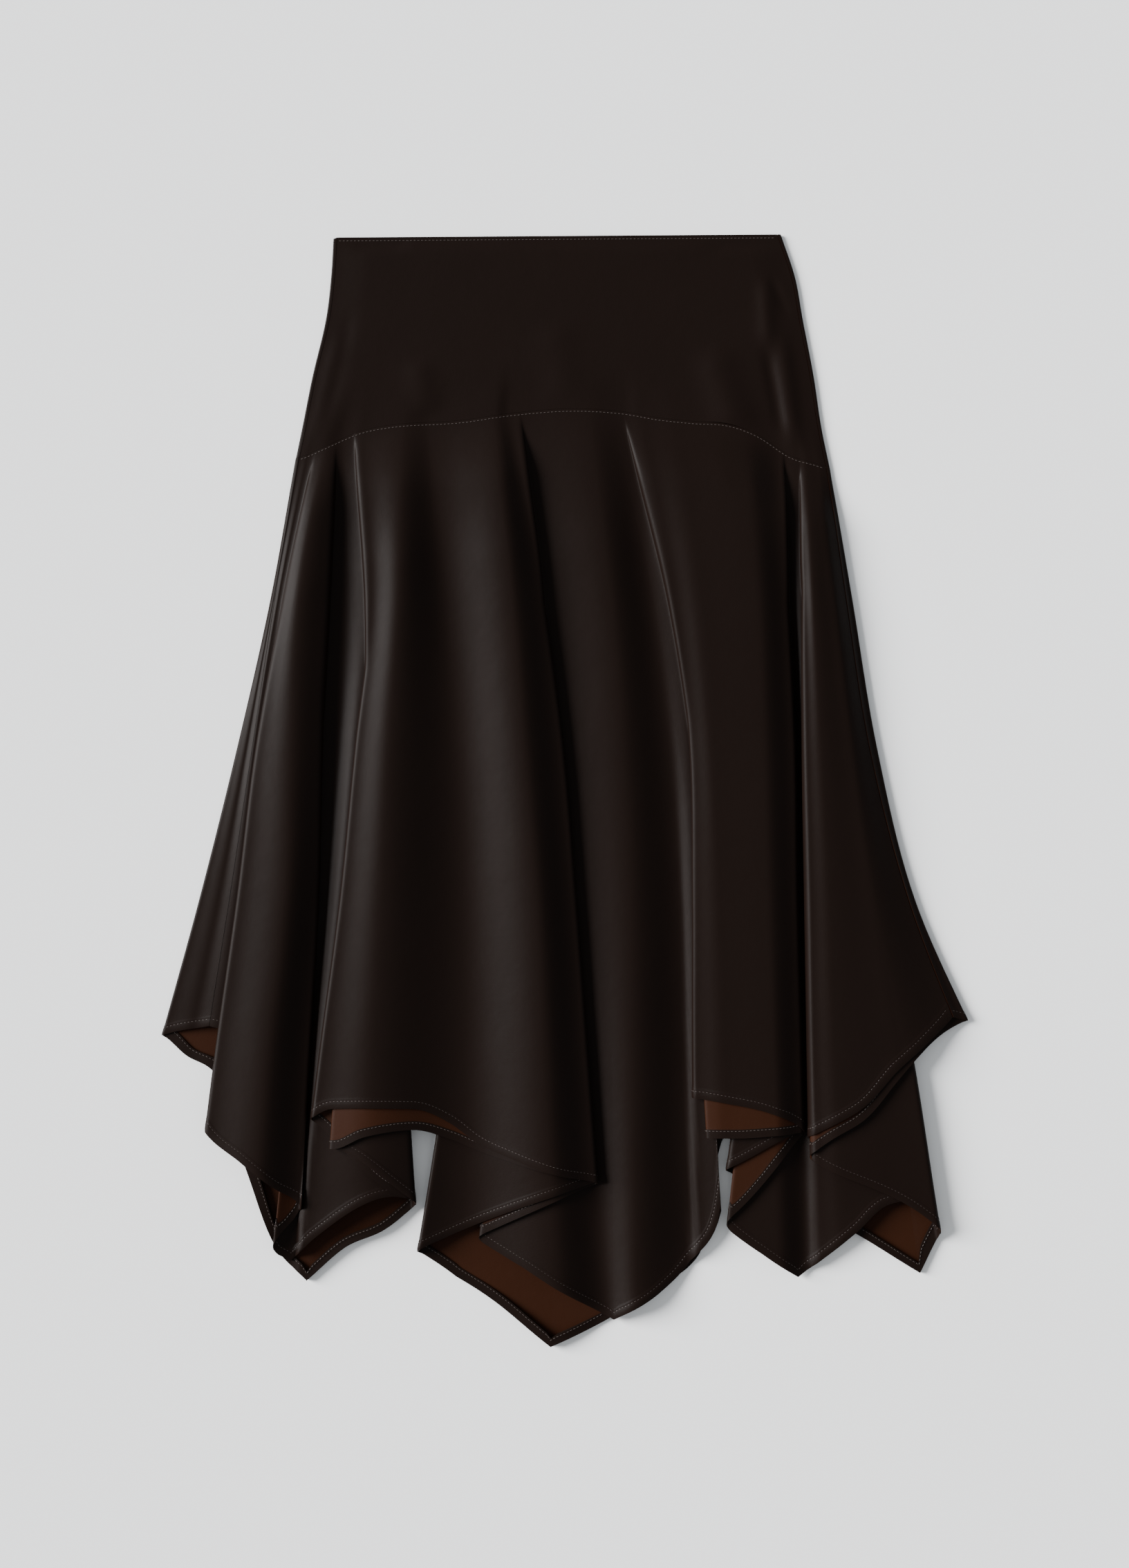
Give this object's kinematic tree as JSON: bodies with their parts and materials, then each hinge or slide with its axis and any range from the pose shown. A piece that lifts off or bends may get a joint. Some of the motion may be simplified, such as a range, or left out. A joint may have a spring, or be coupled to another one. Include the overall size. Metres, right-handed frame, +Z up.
{
  "type": "midi skirt",
  "caption": "Flared midi skirt with a deep hip yoke and a pointed, folded hem, laid flat front up; rigid cloth walls, front and back.",
  "frame": {"origin": "middle of the bounding box on the surface that the skirt lies on", "axes": "+Y from the hem to the waist, +X to the right as it lies front up, +Z up from the surface"},
  "size_m": [0.6491, 0.8944, 0.025],
  "materials": {
    "satin": "satin"
  },
  "bodies": {
    "root": {"front_yoke": "satin", "back_yoke": "satin", "front_skirt": "satin", "back_skirt": "satin"}
  },
  "joints": []
}
